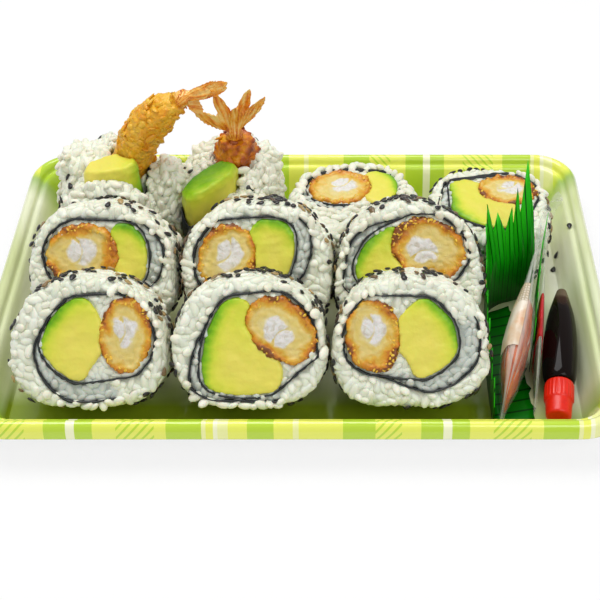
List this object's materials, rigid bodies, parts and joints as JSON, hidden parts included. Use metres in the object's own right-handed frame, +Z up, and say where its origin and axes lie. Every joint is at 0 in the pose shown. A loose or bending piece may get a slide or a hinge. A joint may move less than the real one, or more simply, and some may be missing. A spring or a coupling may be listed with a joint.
{
  "type": "uramaki roll tray",
  "caption": "Takeaway tray of rice-outside prawn tempura and avocado rolls, with grass divider, ginger and wasabi sachets and a soy sauce bottle.",
  "frame": {"origin": "middle of the tray's flat underside", "axes": "+X to the tray's right along its long side, +Y from the front row of slices to the back row, +Z up"},
  "size_m": [0.215, 0.147, 0.0772],
  "materials": {
    "rice": "moist cooked rice, satin",
    "avocado": "ripe cut avocado, satin",
    "fried_batter": "rough fried batter, slightly oily",
    "prawn_shell": "translucent fried shell, glossy",
    "printed_foam": "printed glossy film on foam sheet",
    "grass_film": "thin translucent green film",
    "clear_film": "clear crinkled film over its contents",
    "soy_in_bottle": "clear glossy bottle, dark with soy sauce",
    "red_cap": "moulded red cap, satin"
  },
  "bodies": {
    "root": {"tray": "printed_foam", "front_left_rice": "rice", "front_left_avocado": "avocado", "front_left_prawn": "fried_batter", "front_middle_rice": "rice", "front_middle_avocado": "avocado", "front_middle_prawn": "fried_batter", "front_right_rice": "rice", "front_right_avocado": "avocado", "front_right_prawn": "fried_batter", "middle_left_rice": "rice", "middle_left_avocado": "avocado", "middle_left_prawn": "fried_batter", "middle_middle_rice": "rice", "middle_middle_avocado": "avocado", "middle_middle_prawn": "fried_batter", "middle_right_rice": "rice", "middle_right_avocado": "avocado", "middle_right_prawn": "fried_batter", "back_middle_rice": "rice", "back_middle_avocado": "avocado", "back_middle_prawn": "fried_batter", "back_right_rice": "rice", "back_right_avocado": "avocado", "back_right_prawn": "fried_batter", "end_left_rice": "rice", "end_left_avocado": "avocado", "end_left_prawn": "fried_batter", "end_left_tail": "prawn_shell", "end_middle_rice": "rice", "end_middle_avocado": "avocado", "end_middle_prawn": "fried_batter", "end_middle_tail": "prawn_shell", "grass_divider": "grass_film", "ginger_sachet": "clear_film", "wasabi_sachet": "clear_film", "soy_bottle": "soy_in_bottle", "bottle_cap": "red_cap"}
  },
  "joints": []
}
